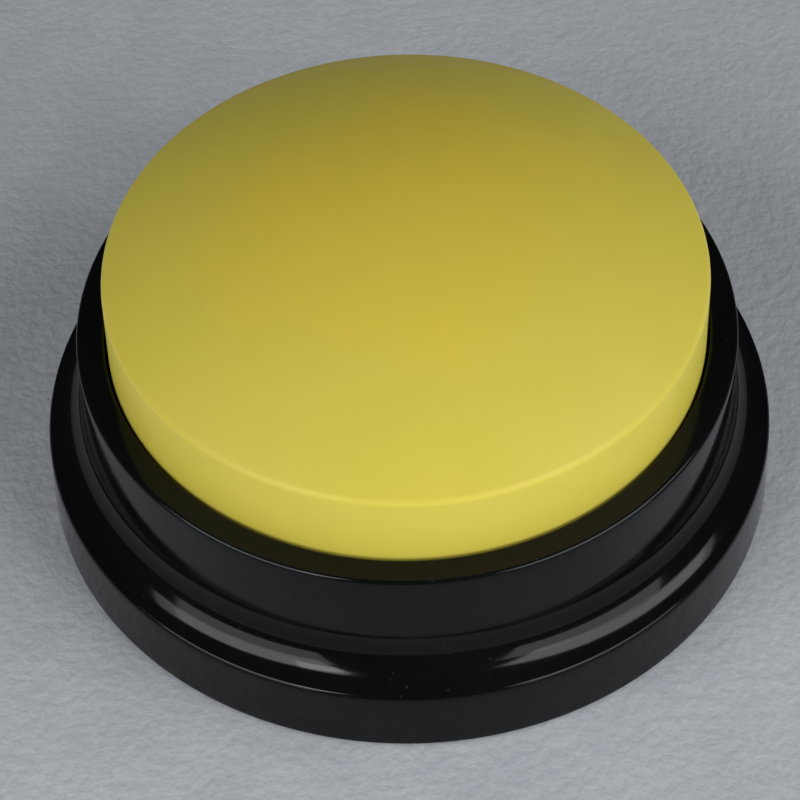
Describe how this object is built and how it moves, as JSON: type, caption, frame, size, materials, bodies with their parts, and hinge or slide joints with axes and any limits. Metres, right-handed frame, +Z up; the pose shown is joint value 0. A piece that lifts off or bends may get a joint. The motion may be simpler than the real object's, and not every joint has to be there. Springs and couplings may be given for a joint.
{
  "type": "quiz buzzer",
  "caption": "Round table-top quiz buzzer: a domed yellow push cap in a flared black housing, sprung, with sound unit and battery box inside.",
  "frame": {"origin": "middle of the base, on the table, at the underside of the feet", "axes": "+Z up along the cap's travel; the player sits on the -Y side; +X to the player's right"},
  "size_m": [0.089, 0.089, 0.0438],
  "materials": {
    "cap_yellow": "moulded, softly glossy",
    "housing_black": "moulded, glossy",
    "cover_black": "fine moulded texture",
    "rubber_black": "matte",
    "screw_steel": "zinc plated",
    "spring_steel": "drawn wire",
    "contact_plate": "nickel plated",
    "cell_jacket": "printed jacket without lettering",
    "speaker_steel": "pressed",
    "speaker_paper": "pressed pulp",
    "speaker_ferrite": "bare ferrite",
    "board_green": "solder mask",
    "key_black": "moulded",
    "chip_resin": "poured resin",
    "capacitor_sleeve": "shrink sleeve",
    "knob_black": "moulded",
    "lead_insulation": "extruded insulation"
  },
  "bodies": {
    "base": {"upper_housing": "housing_black", "bottom_cover": "cover_black", "rubber_feet": "rubber_black", "return_spring_1": "spring_steel", "return_spring_2": "spring_steel", "return_spring_3": "spring_steel", "return_spring_4": "spring_steel", "battery_1": "cell_jacket", "battery_2": "cell_jacket", "battery_contact_positive": "contact_plate", "battery_contact_negative": "contact_plate", "battery_contact_bridge": "contact_plate", "battery_contact_springs": "contact_plate", "speaker_frame": "speaker_steel", "speaker_cone": "speaker_paper", "speaker_magnet": "speaker_ferrite", "circuit_board": "board_green", "tact_switch_body": "key_black", "sound_chip": "chip_resin", "capacitor": "capacitor_sleeve", "slide_switch_body": "screw_steel", "housing_screws": "screw_steel", "circuit_board_screws": "screw_steel", "slide_switch_screws": "screw_steel", "speaker_leads": "lead_insulation", "battery_leads": "lead_insulation", "switch_leads": "lead_insulation"},
    "button": {"button_cap": "cap_yellow"},
    "push_switch": {"tact_switch_plunger": "key_black"},
    "power_knob": {"slide_switch_knob": "knob_black"},
    "door": {"battery_door": "cover_black", "battery_door_screw": "screw_steel"}
  },
  "joints": [
    {"name": "button_press", "type": "slide", "parent": "base", "child": "button", "axis": [0, 0, -1], "range_m": [0, 0.0035], "stiffness_N_per_m": 1000, "springref_m": -0.004, "deforming": ["return_spring_1", "return_spring_2", "return_spring_3", "return_spring_4"]},
    {"name": "switch_plunger", "type": "slide", "parent": "base", "child": "push_switch", "axis": [0, 0, -1], "range_m": [0, 0.00026]},
    {"name": "power_slider", "type": "slide", "parent": "base", "child": "power_knob", "axis": [0, 1, 0], "range_m": [0, 0.002]},
    {"name": "battery_door_hinge", "type": "hinge", "parent": "base", "child": "door", "pos_m": [0, -0.0277, 0.0005], "axis": [-1, 0, 0], "range_deg": [0, 70]}
  ],
  "couplings": [
    {"joint": "switch_plunger", "follows": "button_press", "ratio": 0.071429}
  ]
}
